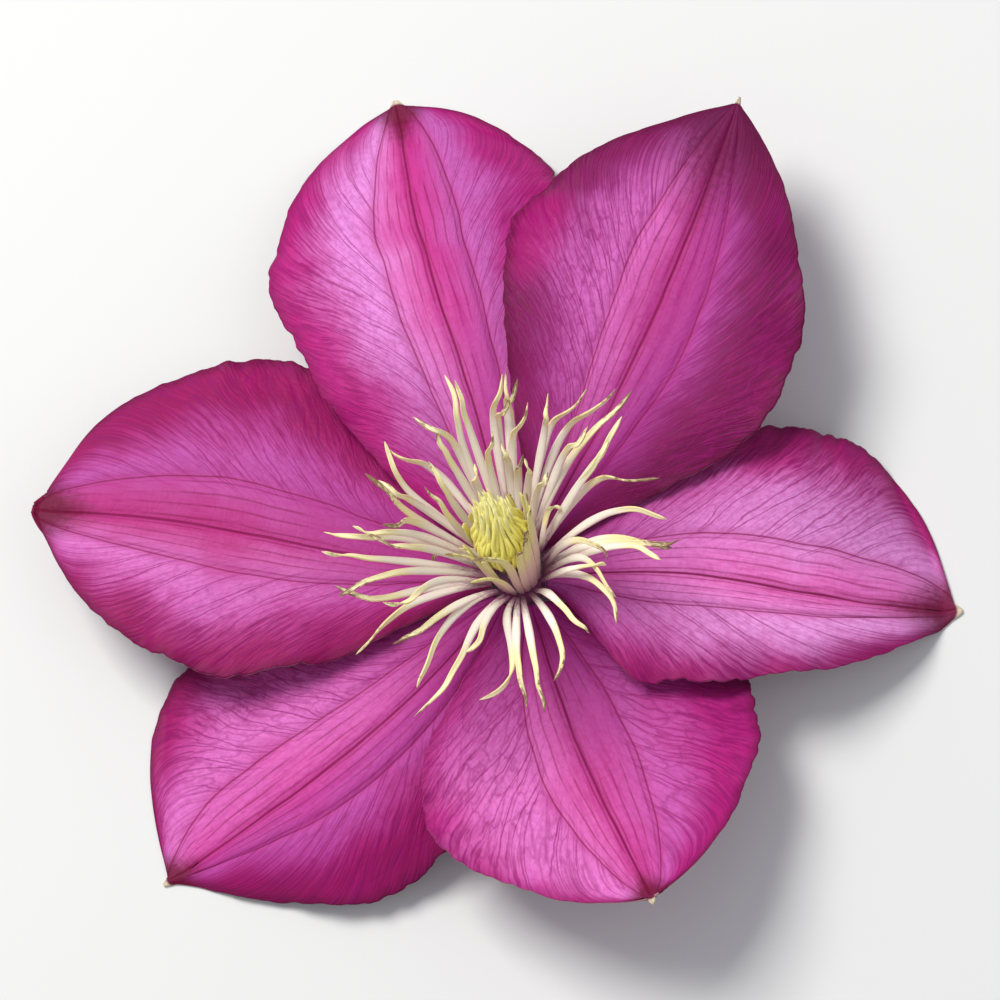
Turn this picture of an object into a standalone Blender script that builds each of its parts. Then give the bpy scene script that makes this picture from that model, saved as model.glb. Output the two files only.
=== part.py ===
# A clematis flower, picked with a short stalk and laid face up on a flat surface at z = 0.
# Six sepals overlap in layers round a small receptacle, which carries a boss of strap-shaped
# stamens and, inside it, a brush of styles. Sizes are in millimetres, and become metres
# when a mesh is made.

import bpy
import bmesh
import math
import random
import numpy as np

MM = 0.001

# The middle of the flower stands off the middle of its outline, because the sepals differ.
FLOWER_X = 4.1
FLOWER_Y = -13.0

# Height of the lowest sepal's claw, and how much higher each layer is set on.
CLAW_HEIGHT = 8.0
LAYER_STEP = 1.1

SEPAL_THICKNESS = 0.7
CLAW_REACH = 3.4            # from the flower's middle to where a sepal begins
CLAW_HALF_WIDTH = 1.35
BAR_HALF = 0.28             # the outer ribs of the middle bar, as a share of the half width
FURROW_DEPTH = 0.35
RIB_HALF = 0.05
PILLOW_HEIGHT = 0.7         # how far each side swells between the bar and the margin
PILLOW_FROM = 0.25          # where across a side the swelling starts
MARGIN_CURVE = 1.8          # over 1, a side turns up or down late, near its margin
MARGIN_WAVE = 0.55
MARGIN_WAVES = (4.5, 7.3)   # how many waves of each kind a margin has
MARGIN_PHASE = 2.2          # how far the waves of the two sides are out of step
TIP_ROUNDING = 12           # the higher, the shorter the part of a blade that rounds off its end
TOUCH_EASE = 0.5            # over this height a drooping tip bends flat onto the surface
TOUCHING = 0.01

# One row for each sepal. direction is in degrees, anticlockwise from +X; reach is from the
# flower's middle to the tip; bow and bend sway the midrib to one side and into an S; layer is
# its place in the stack; rise lifts the middle of its length; tip_height is over the surface,
# and fall says how late the blade leaves its first height for it; wave starts the waves of its
# margins, and tip_half is half the width of its blunt tip. left and right are seen from the claw
# towards the tip: half width, where along the blade it is widest, how full the shoulder is, how
# round the end is, how far the margin stands over the midrib, and how slowly the side grows out
# of the claw.
SEPALS = {
    "sepal_upper_left": dict(
        direction=104.0, reach=73.0, bow=0.5, bend=-0.6, layer=2, rise=3.5, tip_height=-1.2,
        fall=2.6, wave=0.3, tip_half=1.3,
        left=(20.3, 0.67, 1.3, 0.63, -0.6, 0.66), right=(19.0, 0.69, 2.1, 0.63, -4.9, 0.66)),
    "sepal_upper_right": dict(
        direction=65.0, reach=68.0, bow=-2.1, bend=0.0, layer=3, rise=2.0, tip_height=14.0,
        fall=2.0, wave=1.3, tip_half=0.5,
        left=(21.5, 0.63, 1.7, 0.88, 1.1, 1.3), right=(19.5, 0.5, 1.6, 0.88, 0.4, 1.3)),
    "sepal_right": dict(
        direction=-3.6, reach=53.9, bow=-0.7, bend=0.9, layer=2, rise=3.2, tip_height=-1.2,
        fall=3.0, wave=2.1, tip_half=1.3,
        left=(23.0, 0.62, 2.6, 0.51, -4.2, 0.75), right=(14.5, 0.3, 1.6, 0.95, 0.2, 1.35)),
    "sepal_bottom": dict(
        direction=-69.0, reach=47.5, bow=-1.1, bend=-0.1, layer=1, rise=-0.3, tip_height=18.0,
        fall=2.4, wave=4.0, tip_half=0.6,
        left=(22.5, 0.52, 1.55, 0.64, -2.0, 0.72), right=(21.0, 0.52, 1.45, 0.75, 1.5, 0.93)),
    "sepal_lower_left": dict(
        direction=217.0, reach=57.5, bow=3.7, bend=0.3, layer=0, rise=1.8, tip_height=-1.2,
        fall=2.4, wave=5.0, tip_half=0.7,
        left=(17.5, 0.52, 1.8, 1.3, -4.0, 0.8), right=(23.0, 0.71, 2.7, 0.82, -3.4, 0.8)),
    "sepal_left": dict(
        direction=168.5, reach=63.2, bow=-0.4, bend=0.5, layer=1, rise=1.8, tip_height=9.5,
        fall=2.4, wave=0.9, tip_half=2.4,
        left=(19.0, 0.53, 2.1, 0.89, 1.0, 1.2), right=(24.5, 0.61, 1.3, 0.61, -3.0, 0.85)),
}
SEPAL_ROWS = 20
SEPAL_ROW_CROWDING = 1.35   # over 1, the rows stand closer towards the tip
SEPAL_SIDES = [0.0, 0.13, BAR_HALF, 0.5, 0.78, 1.0]

# The receptacle and the nipped stalk under it, as radius and height of the turned outline.
RECEPTACLE_RADIUS = 2.9
RECEPTACLE_TOP = 12.2
STALK_RADIUS = 1.15
STALK_END = 0.8
RECEPTACLE_OUTLINE = [
    (STALK_RADIUS - 0.2, STALK_END), (STALK_RADIUS, STALK_END + 0.25), (1.2, 3.2), (1.45, 4.8),
    (2.1, 6.0), (2.7, 6.7), (RECEPTACLE_RADIUS, 7.4), (RECEPTACLE_RADIUS, 11.8),
    (2.6, RECEPTACLE_TOP)]

# The boss bends over towards the upper left, further the higher it stands.
GAP = 0.3
BOSS_BASE = RECEPTACLE_TOP + GAP
BEND = 0.014                # sideways for each millimetre of height squared
BEND_DIRECTION = 113.0
GOLDEN_ANGLE = 137.508

# The stamens, read off the photo one by one, and given the height that makes them 18 to 25
# long. Each row is the rise of the tip over the base of the boss, then where the stamen passes
# two places along it and where it ends, seen from above.
SPREAD_STAMENS = [
    (15.5, (-4.9, 11.8), (-5.5, 16.0), (-6.8, 20.7)),
    (15.9, (-3.5, 12.2), (-4.6, 16.2), (-5.4, 19.8)),
    (15.5, (-5.4, 11.7), (-7.3, 13.7), (-10.9, 15.4)),
    (14.1, (-5.3, 8.9), (-7.1, 11.5), (-8.2, 14.3)),
    (12.9, (-10.2, 6.5), (-13.4, 9.5), (-14.7, 13.4)),
    (12.0, (-8.1, 10.2), (-11.6, 11.4), (-14.1, 12.7)),
    (13.7, (-6.1, 5.6), (-7.5, 7.5), (-9.2, 10.1)),
    (13.6, (-10.5, 4.3), (-13.8, 6.2), (-16.9, 9.1)),
    (14.1, (-9.8, 5.7), (-12.3, 6.0), (-15.3, 7.9)),
    (13.9, (-6.3, 3.5), (-7.7, 4.8), (-9.5, 6.7)),
    (14.2, (-9.8, 3.6), (-12.4, 2.7), (-14.7, 1.8)),
    (14.2, (-11.0, 1.9), (-16.5, 0.9), (-21.9, 1.4)),
    (15.1, (-10.3, 2.2), (-14.5, 1.1), (-18.3, 1.5)),
    (14.9, (-9.1, 0.5), (-12.6, -0.7), (-16.6, 0.7)),
    (14.5, (-12.2, -0.8), (-17.9, -1.7), (-22.1, -1.2)),
    (13.7, (-10.4, -1.9), (-15.9, -4.3), (-20.2, -6.9)),
    (12.8, (-11.1, -4.2), (-16.3, -6.7), (-20.7, -5.0)),
    (15.6, (-8.4, -3.7), (-11.0, -7.7), (-14.3, -8.6)),
    (11.8, (-9.9, -4.9), (-14.5, -9.3), (-18.2, -13.9)),
    (12.8, (-6.7, -6.5), (-10.4, -11.0), (-13.5, -13.2)),
    (11.3, (-6.2, -6.8), (-9.1, -13.2), (-10.6, -18.4)),
    (14.2, (-2.4, -8.0), (-2.8, -12.8), (-4.3, -15.2)),
    (9.8, (-4.5, -8.9), (-6.4, -15.2), (-11.2, -21.6)),
    (9.5, (-0.5, -8.7), (0.5, -15.3), (-3.3, -19.7)),
    (10.9, (0.7, -10.3), (1.6, -16.4), (2.8, -21.4)),
    (11.0, (2.4, -10.4), (3.8, -17.0), (5.0, -21.9)),
    (10.8, (4.9, -8.3), (6.8, -14.4), (6.1, -18.2)),
    (12.2, (4.9, -5.4), (7.8, -9.5), (10.6, -12.5)),
    (11.2, (7.7, -2.7), (12.0, -6.2), (13.8, -11.2)),
    (13.0, (8.2, -1.0), (11.4, -4.3), (13.9, -8.4)),
    (12.1, (6.5, -2.5), (10.1, -3.5), (12.6, -3.9)),
    (13.4, (7.0, 0.8), (10.9, -1.0), (13.0, -3.8)),
    (13.5, (11.3, 1.1), (17.4, -1.3), (21.7, -1.5)),
    (14.2, (10.7, -0.4), (16.3, -2.0), (19.6, -4.3)),
    (13.0, (9.8, 0.5), (16.4, -1.1), (20.8, -2.3)),
    (12.5, (10.0, 3.7), (15.8, 3.4), (20.2, 1.6)),
    (13.4, (8.9, 7.3), (13.8, 7.4), (19.5, 6.3)),
    (13.1, (6.6, 10.2), (11.6, 14.2), (16.0, 18.4)),
    (15.2, (8.4, 7.4), (12.4, 10.2), (15.1, 14.1)),
    (14.6, (7.5, 6.0), (10.8, 8.1), (13.4, 11.1)),
    (12.2, (5.7, 13.5), (10.0, 16.3), (13.9, 19.3)),
    (14.4, (6.1, 10.4), (8.6, 11.5), (10.9, 13.3)),
    (15.2, (3.4, 6.4), (4.9, 6.3), (5.9, 7.4)),
    (12.1, (4.2, 13.9), (7.1, 16.5), (10.5, 19.3)),
    (13.8, (4.1, 13.3), (5.3, 15.3), (5.8, 18.3)),
    (15.2, (2.5, 7.8), (3.4, 8.1), (3.2, 9.3)),
    (16.0, (0.6, 12.3), (2.1, 13.7), (3.6, 16.4)),
    (14.3, (0.1, 16.0), (0.5, 18.3), (0.7, 21.9)),
    (12.1, (0.3, 15.2), (0.6, 18.2), (1.6, 21.1)),
    (13.8, (-1.6, 14.9), (-1.0, 17.9), (0.2, 21.2)),
    (12.7, (-1.2, 15.1), (-0.5, 16.7), (0.6, 18.8)),
    (14.5, (-2.0, 9.7), (-1.7, 11.2), (-1.1, 13.3)),
    (12.8, (1.1, 9.4), (1.8, 9.5), (2.3, 10.8)),
    (12.6, (-3.7, 8.3), (-3.7, 8.5), (-3.3, 9.9)),
    (14.1, (0.2, 10.1), (0.5, 10.4), (0.2, 11.9)),
    (7.3, (3.8, 3.3), (4.8, 5.3), (6.5, 5.2)),
    (5.4, (-4.7, 1.8), (-8.0, 1.5), (-9.9, -0.4)),
]
# Young stamens stand upright inside them and wall the styles in, tallest at the lower right.
# Some have tips that hook outwards. They bend over with the brush.
YOUNG_STAMENS = [
    (12.6, (2.0, -3.4), (2.6, -3.7), (3.1, -4.1)),
    (13.6, (2.8, -2.7), (3.5, -2.9), (4.1, -3.1)),
    (14.4, (3.2, -2.2), (3.8, -2.4), (4.4, -2.7)),
    (15.0, (3.7, -1.1), (4.4, -0.9), (4.7, -0.6)),
    (15.1, (3.9, -0.2), (4.5, -0.3), (5.0, -0.3)),
    (14.4, (3.8, 0.8), (4.4, 0.7), (4.8, 0.6)),
    (13.8, (3.5, 1.6), (3.9, 2.2), (4.2, 2.8)),
    (12.8, (2.9, 2.6), (3.1, 3.3), (3.1, 3.6)),
    (11.6, (-1.4, -3.6), (-1.7, -4.2), (-1.9, -4.3)),
    (11.8, (-3.0, -2.5), (-3.5, -2.9), (-3.7, -3.0)),
    (11.2, (-3.7, -1.2), (-4.1, -1.7), (-4.4, -2.1)),
    (11.0, (1.2, 3.7), (1.2, 4.3), (1.2, 4.9)),
    (10.4, (-0.6, 3.9), (-1.1, 4.4), (-1.5, 4.8)),
    (10.4, (-2.9, 2.6), (-3.6, 2.7), (-4.0, 2.7)),
    (10.8, (-3.8, 0.9), (-4.4, 1.1), (-4.6, 1.2)),
    (13.4, (0.9, -3.8), (0.5, -4.7), (-3.0, -5.2)),
    (9.2, (-0.4, -3.9), (-1.2, -4.7), (-4.2, -5.4)),
    (12.4, (-2.3, -3.1), (-3.3, -3.6), (-6.4, -3.6)),
]
STAMEN_PLACES = (0.42, 0.75)        # where the two places are, as a share of the length
STAMEN_RISES = (0.55, 0.90, 1.0)    # their heights and the tip's, as a share of the rise
SPREAD_START = (3.5, 30.0, 4.0)     # root radius, lean in degrees and pull of the first part
YOUNG_START = (2.85, 8.0, 2.4)
STAMEN_ROOT_HEIGHT = 0.35
SPREAD_WIDTHS = [(0.0, 0.75), (0.38, 1.25), (0.62, 0.85), (0.9, 0.75), (1.0, 0.55)]
YOUNG_WIDTHS = [(0.0, 0.7), (0.5, 1.05), (0.85, 0.85), (1.0, 0.55)]
STAMEN_THICKNESS = 0.65
STAMEN_RING = (2.4, 4.2, 1.3)       # inner and outer radius and height of the ring of bases
STAMEN_SEGMENTS = 7

# The styles climb the ovary head, swing round, and close over its top. Pairs give the
# innermost and the outermost.
STYLE_COUNT = 32
STYLE_SEED = 11
STYLE_RADIUS = 0.5
STYLE_SEGMENTS = 5
STYLE_BASE = (8.5, 2.1)
STYLE_TOP = (14.8, 14.1)
STYLE_STAND = 0.85                  # how far the brush swells off the head
STYLE_END = (0.45, 2.3)             # from the axis to the tips
STYLE_CLOSING = 0.6                 # where along a style it starts to close in
STYLE_SWIRL = 60.0
STYLE_CLIMB = 0.9                   # under 1, a style climbs fast at first
STYLE_LOOSENESS = 6.0               # how far it stands off its place in the spiral, in degrees
STYLE_UNEVENNESS = 0.4              # how far its top is off its height
STYLE_SWELLED = 0.5                 # where along a style the brush stands fully off the head
STYLE_TAPER = 0.8
# Radius of the ovary head against its height over the receptacle.
HEAD_OUTLINE = [(1.2, 0.0), (1.3, 0.5), (1.4, 4.0), (1.7, 6.5), (2.3, 8.6), (2.3, 10.5),
                (1.7, 12.2), (0.6, 13.0)]


def clear_scene():
    for ob in list(bpy.data.objects):
        bpy.data.objects.remove(ob, do_unlink=True)


def make_material(name, color, roughness):
    mat = bpy.data.materials.new(name)
    mat.use_nodes = True
    shader = mat.node_tree.nodes["Principled BSDF"]
    shader.inputs["Base Color"].default_value = (*color, 1.0)
    shader.inputs["Roughness"].default_value = roughness
    shader.inputs["Metallic"].default_value = 0.0
    return mat


def make_object(name, points, faces, material=None, collection=None):
    """An object from points in millimetres round the flower's middle."""
    mesh = bpy.data.meshes.new(name)
    placed = (np.asarray(points) + (FLOWER_X, FLOWER_Y, 0.0)) * MM
    mesh.from_pydata(placed.tolist(), [], faces)
    mesh.validate()
    mesh.shade_smooth()
    ob = bpy.data.objects.new(name, mesh)
    (collection or bpy.context.scene.collection).objects.link(ob)
    if material:
        mesh.materials.append(material)
    return ob


def smooth_step(x):
    x = np.clip(x, 0.0, 1.0)
    return x * x * (3.0 - 2.0 * x)


def half_width(t, side, tip_half):
    """Half width of a sepal at t: a sine power up to the widest place, then a rounded end."""
    width, widest, shoulder, roundness, _, slowness = side
    rising = np.sin(0.5 * math.pi * np.clip(t / widest, 0.0, 1.0)) ** slowness
    past = np.clip((t - widest) / (1.0 - widest), 0.0, 1.0)
    falling = (1.0 - past ** shoulder) ** roundness
    grown = CLAW_HALF_WIDTH + (width - CLAW_HALF_WIDTH) * rising
    ended = tip_half + (width - tip_half) * falling
    return np.where(t < widest, grown, ended)


def sepal_surface(row, t, s):
    """Points of a sepal's middle surface, t from claw to tip and s from -1 to 1 across."""
    on_left = s > 0.0
    length = row["reach"] - CLAW_REACH
    left = half_width(t, row["left"], row["tip_half"])
    right = half_width(t, row["right"], row["tip_half"])
    width = np.where(on_left, left, right)
    full = np.where(on_left, left / row["left"][0], right / row["right"][0])
    across = np.abs(s)

    along = CLAW_REACH + length * t - 0.5 * row["tip_half"] * s ** 2 * t ** TIP_ROUNDING
    sway = row["bow"] * np.sin(math.pi * t) + row["bend"] * np.sin(2.0 * math.pi * t)
    slope = (row["bow"] * math.pi * np.cos(math.pi * t)
             + row["bend"] * 2.0 * math.pi * np.cos(2.0 * math.pi * t)) / length
    turn = np.arctan(slope)

    start = CLAW_HEIGHT + LAYER_STEP * row["layer"]
    height = start + row["rise"] * np.sin(math.pi * t)
    height += (row["tip_height"] - start) * t ** row["fall"]
    margin = np.where(on_left, row["left"][4], row["right"][4])
    height += margin * full * across ** MARGIN_CURVE
    swelling = np.clip((across - PILLOW_FROM) / (1.0 - PILLOW_FROM), 0.0, 1.0)
    pillow = np.sin(math.pi * swelling) ** 2
    height += PILLOW_HEIGHT * full * pillow
    body = np.sqrt(np.clip(np.sin(math.pi * t), 0.0, 1.0))
    phase = row["wave"] + MARGIN_PHASE * on_left
    turns = 2.0 * math.pi * t
    waves = np.sin(MARGIN_WAVES[0] * turns + phase)
    waves += 0.5 * np.sin(MARGIN_WAVES[1] * turns + phase + row["wave"])
    height += MARGIN_WAVE * waves * across ** 4 * body * np.sqrt(full)
    near_rib = np.minimum(across, np.abs(across - BAR_HALF))
    height -= FURROW_DEPTH * body * np.exp(-(near_rib / RIB_HALF) ** 2)

    height = lie_on_surface(height)

    out = along - s * width * np.sin(turn)
    aside = sway + s * width * np.cos(turn)
    angle = math.radians(row["direction"])
    x = out * math.cos(angle) - aside * math.sin(angle)
    y = out * math.sin(angle) + aside * math.cos(angle)
    return np.stack([x, y, height], axis=-1)


def lie_on_surface(height):
    """Where a blade would dip into the surface, it bends and lies flat on it instead."""
    lowest = 0.5 * SEPAL_THICKNESS
    over = height - lowest
    bent = (over + TOUCH_EASE) ** 2 / (4.0 * TOUCH_EASE)
    return lowest + np.where(over > TOUCH_EASE, over, np.where(over < -TOUCH_EASE, 0.0, bent))


def surface_normals(points):
    normals = np.cross(np.gradient(points, axis=0), np.gradient(points, axis=1))
    return normals / np.linalg.norm(normals, axis=-1, keepdims=True)


def blade_faces(rows, columns):
    """Triangles of a closed blade: an upper and a lower grid split alike, and the rim."""
    lower = rows * columns
    faces = []
    for i in range(rows - 1):
        for j in range(columns - 1):
            a = i * columns + j
            b = a + columns
            c = b + 1
            d = a + 1
            faces += [(a, b, c), (a, c, d)]
            faces += [(lower + a, lower + c, lower + b), (lower + a, lower + d, lower + c)]
    rim = [j for j in range(columns)]
    rim += [i * columns + columns - 1 for i in range(1, rows)]
    rim += [(rows - 1) * columns + j for j in range(columns - 2, -1, -1)]
    rim += [i * columns for i in range(rows - 2, 0, -1)]
    for a, b in zip(rim, rim[1:] + rim[:1]):
        faces += [(a, b, lower + b), (a, lower + b, lower + a)]
    return faces


def make_sepal(name, row, material):
    sides = [-s for s in reversed(SEPAL_SIDES[1:])] + SEPAL_SIDES
    t = 1.0 - (1.0 - np.linspace(0.0, 1.0, SEPAL_ROWS + 1)) ** SEPAL_ROW_CROWDING
    t, s = np.meshgrid(t, sides, indexing="ij")
    middle = sepal_surface(row, t, s)
    offset = surface_normals(middle) * 0.5 * SEPAL_THICKNESS
    points = np.concatenate([(middle + offset).reshape(-1, 3), (middle - offset).reshape(-1, 3)])
    points[:, 2] = np.where(points[:, 2] < TOUCHING, 0.0, points[:, 2])
    return make_object(name, points, blade_faces(*t.shape), material)


def turned_solid(outline, sides):
    """Points and faces of a solid turned round the z axis, closed at both ends."""
    angles = np.arange(sides) * 2.0 * math.pi / sides
    radius, height = np.array(outline).T
    x = radius[:, None] * np.cos(angles)
    y = radius[:, None] * np.sin(angles)
    z = np.repeat(height[:, None], sides, axis=1)
    points = np.stack([x, y, z], axis=-1).reshape(-1, 3)
    faces = []
    for i in range(len(outline) - 1):
        for j in range(sides):
            k = (j + 1) % sides
            faces.append((i * sides + j, i * sides + k, (i + 1) * sides + k, (i + 1) * sides + j))
    faces.append(tuple(range(sides - 1, -1, -1)))
    last = (len(outline) - 1) * sides
    faces.append(tuple(range(last, last + sides)))
    return points, faces


def ring_solid(inner, outer, height, sides):
    """Points and faces of a flat ring with square edges."""
    outline = [(inner, 0.0), (outer, 0.0), (outer, height), (inner, height)]
    angles = np.arange(sides) * 2.0 * math.pi / sides
    points = [(r * math.cos(a), r * math.sin(a), z) for r, z in outline for a in angles]
    faces = []
    for i in range(4):
        for j in range(sides):
            k = (j + 1) % sides
            n = (i + 1) % 4
            faces.append((i * sides + j, i * sides + k, n * sides + k, n * sides + j))
    return np.array(points), faces


def bent_over(points):
    """The boss's own upright frame, bent over and set on the receptacle."""
    angle = math.radians(BEND_DIRECTION)
    shift = BEND * points[..., 2] ** 2
    x = points[..., 0] + shift * math.cos(angle)
    y = points[..., 1] + shift * math.sin(angle)
    return np.stack([x, y, points[..., 2] + BOSS_BASE], axis=-1)


def between(pair, share):
    return pair[0] + (pair[1] - pair[0]) * share


def stamen_path(row, start):
    """A fourth-degree Bezier curve from the ring of bases through a row's places to its tip."""
    root_radius, lean, pull = start
    rise, *plan = row
    heights = [[rise * share] for share in STAMEN_RISES]
    first, second, tip = np.concatenate([np.array(plan), heights], axis=1)
    outward = np.array([first[0], first[1], 0.0]) / math.hypot(first[0], first[1])
    up = np.array([0.0, 0.0, 1.0])
    root = root_radius * outward + STAMEN_ROOT_HEIGHT * up
    lean = math.radians(lean)
    begun = root + pull * (math.sin(lean) * outward + math.cos(lean) * up)
    shares = bezier_shares(np.array(STAMEN_PLACES))
    known = shares[:, :1] * root + shares[:, 1:2] * begun + shares[:, 4:] * tip
    pulls = np.linalg.solve(shares[:, 2:4], np.stack([first, second]) - known)
    along = bezier_shares(np.linspace(0.0, 1.0, STAMEN_SEGMENTS + 1))
    return along @ np.stack([root, begun, *pulls, tip])


def bezier_shares(u):
    """The share of each of five control points at u along the curve."""
    u = u[:, None]
    power = np.arange(5)
    return np.array([1.0, 4.0, 6.0, 4.0, 1.0]) * u ** power * (1.0 - u) ** (4 - power)


def swept_solid(path, corners, first_turn):
    """A closed bar along a path; corners holds each station's outline across the path."""
    forward = np.gradient(path, axis=0)
    forward /= np.linalg.norm(forward, axis=1, keepdims=True)
    across = np.cross(forward, first_turn)
    across /= np.linalg.norm(across, axis=1, keepdims=True)
    normal = np.cross(forward, across)
    points = (path[:, None] + corners[..., :1] * across[:, None]
              + corners[..., 1:] * normal[:, None])
    stations, sides = corners.shape[:2]
    faces = []
    for i in range(stations - 1):
        for j in range(sides):
            k = (j + 1) % sides
            a, b = i * sides + j, i * sides + k
            c, d = b + sides, a + sides
            faces += [(a, b, c), (a, c, d)]
    for j in range(1, sides - 1):
        faces.append((0, j + 1, j))
        last = (stations - 1) * sides
        faces.append((last, last + j, last + j + 1))
    return points.reshape(-1, 3), faces


def fuse(name, base, parts, material):
    """One closed body from a base and the parts rooted in it."""
    group = bpy.data.collections.new(name + "_parts")
    bpy.context.scene.collection.children.link(group)
    for number, (points, faces) in enumerate(parts):
        make_object("%s_%02d" % (name, number), points, faces, collection=group)
    ob = make_object(name, *base, material)
    union = ob.modifiers.new("union", "BOOLEAN")
    union.operation = "UNION"
    union.operand_type = "COLLECTION"
    union.collection = group
    union.solver = "MANIFOLD"
    bpy.context.view_layer.objects.active = ob
    bpy.ops.object.modifier_apply(modifier=union.name)
    for part in list(group.objects):
        bpy.data.objects.remove(part, do_unlink=True)
    bpy.data.collections.remove(group)
    keep_largest(ob.data)
    return ob


def keep_largest(mesh):
    """Fill any hollow the fusing sealed, and drop any scrap, by keeping the outer skin."""
    bm = bmesh.new()
    bm.from_mesh(mesh)
    bmesh.ops.triangulate(bm, faces=bm.faces)
    left = set(bm.faces)
    groups = []
    while left:
        grown = {left.pop()}
        frontier = list(grown)
        while frontier:
            face = frontier.pop()
            near = {other for edge in face.edges for other in edge.link_faces} & left
            left -= near
            grown |= near
            frontier += list(near)
        groups.append(grown)
    groups.sort(key=len)
    loose = [face for group in groups[:-1] for face in group]
    bmesh.ops.delete(bm, geom=loose, context="FACES")
    bm.to_mesh(mesh)
    bm.free()


def strap(path, widths):
    """A three-sided strap, flat towards the styles and ridged behind."""
    half = 0.5 * np.interp(np.linspace(0.0, 1.0, len(path)), *zip(*widths))
    flat = np.full(len(path), 0.35 * STAMEN_THICKNESS)
    ridge = flat - STAMEN_THICKNESS
    corners = np.stack([np.stack([-half, flat], -1), np.stack([0.0 * half, ridge], -1),
                        np.stack([half, flat], -1)], axis=1)
    return swept_solid(path, corners, np.array([path[0][0], path[0][1], 0.0]))


def make_stamens(material):
    inner, outer, height = STAMEN_RING
    points, faces = ring_solid(inner, outer, height, 28)
    base = np.array([0.0, 0.0, BOSS_BASE])
    straps = [strap(base + stamen_path(row, SPREAD_START), SPREAD_WIDTHS)
              for row in SPREAD_STAMENS]
    straps += [strap(bent_over(stamen_path(row, YOUNG_START)), YOUNG_WIDTHS)
               for row in YOUNG_STAMENS]
    return fuse("stamens", (bent_over(points), faces), straps, material)


def style_paths():
    """Centre lines of the styles: up the ovary head, swirled, and drawn in over its top."""
    draw = random.Random(STYLE_SEED)
    radii, heights = zip(*HEAD_OUTLINE)
    for i in range(STYLE_COUNT):
        rank = (i + 0.5) / STYLE_COUNT
        turn = draw.uniform(-STYLE_LOOSENESS, STYLE_LOOSENESS)
        around = math.radians(i * GOLDEN_ANGLE + turn)
        u = np.linspace(0.0, 1.0, STYLE_SEGMENTS + 1)
        base = between(STYLE_BASE, rank)
        top = between(STYLE_TOP, rank) + draw.uniform(-STYLE_UNEVENNESS, STYLE_UNEVENNESS)
        height = base + (top - base) * np.sin(0.5 * math.pi * u ** STYLE_CLIMB)
        standing = np.interp(height, heights[:-2], radii[:-2])
        standing = standing + STYLE_STAND * smooth_step(u / STYLE_SWELLED)
        closing = smooth_step((u - STYLE_CLOSING) / (1.0 - STYLE_CLOSING))
        radius = standing + (between(STYLE_END, rank) - standing) * closing
        swirl = around + math.radians(STYLE_SWIRL) * u ** 2
        yield np.stack([radius * np.cos(swirl), radius * np.sin(swirl), height], axis=-1)


def make_pistils(material):
    points, faces = turned_solid(HEAD_OUTLINE, 14)
    styles = []
    for path in style_paths():
        size = np.linspace(1.0, STYLE_TAPER, len(path)) * STYLE_RADIUS
        turns = np.arange(3) * 2.0 * math.pi / 3.0
        corners = np.stack([size[:, None] * np.cos(turns), size[:, None] * np.sin(turns)], axis=-1)
        outward = np.array([path[0][0], path[0][1], 0.0])
        style, style_faces = swept_solid(path, corners, outward)
        styles.append((bent_over(style), style_faces))
    return fuse("pistils", (bent_over(points), faces), styles, material)


def build():
    clear_scene()
    sepal = make_material("sepal", (0.45, 0.07, 0.30), 0.5)
    stamen = make_material("stamen", (0.80, 0.60, 0.36), 0.6)
    style = make_material("style", (0.62, 0.58, 0.13), 0.6)
    stalk = make_material("stalk", (0.20, 0.27, 0.07), 0.6)
    for name, row in SEPALS.items():
        make_sepal(name, row, sepal)
    make_stamens(stamen)
    make_pistils(style)
    points, faces = turned_solid(RECEPTACLE_OUTLINE, 24)
    make_object("receptacle", points, faces, stalk)


build()
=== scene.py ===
import math
import random
import bpy
import numpy as np
from mathutils import Matrix, Vector


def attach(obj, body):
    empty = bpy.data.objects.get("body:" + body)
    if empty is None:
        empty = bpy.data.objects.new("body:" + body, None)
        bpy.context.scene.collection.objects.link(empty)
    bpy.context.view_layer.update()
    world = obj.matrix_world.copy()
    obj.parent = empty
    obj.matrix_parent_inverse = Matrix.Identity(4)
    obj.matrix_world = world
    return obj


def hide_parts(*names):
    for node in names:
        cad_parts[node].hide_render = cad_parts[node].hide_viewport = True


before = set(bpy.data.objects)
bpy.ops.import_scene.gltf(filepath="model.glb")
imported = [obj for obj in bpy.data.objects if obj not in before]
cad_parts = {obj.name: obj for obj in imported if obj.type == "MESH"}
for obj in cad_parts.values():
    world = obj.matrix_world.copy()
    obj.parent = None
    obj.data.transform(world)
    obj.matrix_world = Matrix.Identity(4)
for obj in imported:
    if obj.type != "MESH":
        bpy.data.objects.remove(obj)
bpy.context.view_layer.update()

# Lengths below are in millimetres in the flower's own frame, whose middle is the receptacle,
# and become metres in the model's frame when a mesh is made.
mm = 0.001
flowerMiddle = np.array([4.1, -13.0, 0.0])
bossRoot = np.array([0.0, 0.0, 12.5])     # where the stamens and styles stand
bossLean = math.radians(113.0)            # the way they lean, and how much
bossBend = 0.014


def smoothStep(x):
    x = np.clip(x, 0.0, 1.0)
    return x * x * (3.0 - 2.0 * x)


def bell(x, width):
    return np.exp(-(x / width) ** 2)


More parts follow.
